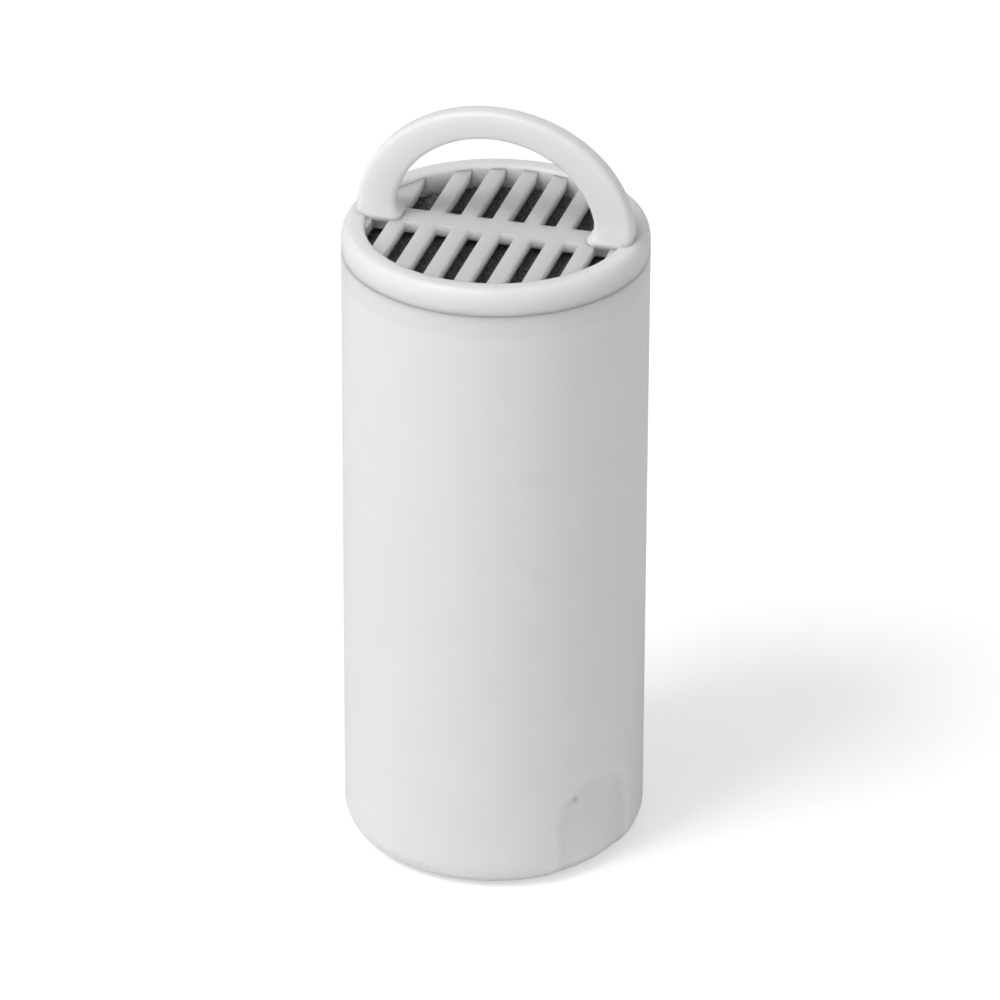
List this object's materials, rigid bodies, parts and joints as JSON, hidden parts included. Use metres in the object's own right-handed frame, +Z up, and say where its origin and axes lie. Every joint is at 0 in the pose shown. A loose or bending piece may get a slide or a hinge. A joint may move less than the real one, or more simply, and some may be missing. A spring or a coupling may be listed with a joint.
{
  "type": "water filter cartridge",
  "caption": "Round drop-in water filter cartridge with a slotted inlet cap, an arched lifting handle, foam and carbon inside and a slotted outlet floor.",
  "frame": {"origin": "centre of the base, on the surface that the cartridge stands on", "axes": "+Z up along the cartridge's axis, X along the handle and the grille's spine, -Y towards the front row of slots"},
  "size_m": [0.034, 0.034, 0.0891],
  "materials": {
    "milky_plastic": "satin, slightly see-through natural polypropylene",
    "screen_mesh": "fine woven mesh",
    "white_felt": "needled fibre felt",
    "black_carbon": "loose granules",
    "charcoal_foam": "open-cell foam"
  },
  "bodies": {
    "housing": {"housing": "milky_plastic", "outlet_screen": "screen_mesh", "lower_felt": "white_felt", "carbon_bed": "black_carbon", "upper_felt": "white_felt", "inlet_foam": "charcoal_foam"},
    "cap": {"cap_rim": "milky_plastic", "inlet_grille": "milky_plastic", "carry_handle": "milky_plastic"}
  },
  "joints": [
    {"name": "cap_lift", "type": "slide", "parent": "housing", "child": "cap", "axis": [0, 0, 1], "range_m": [0, 0.02]}
  ]
}
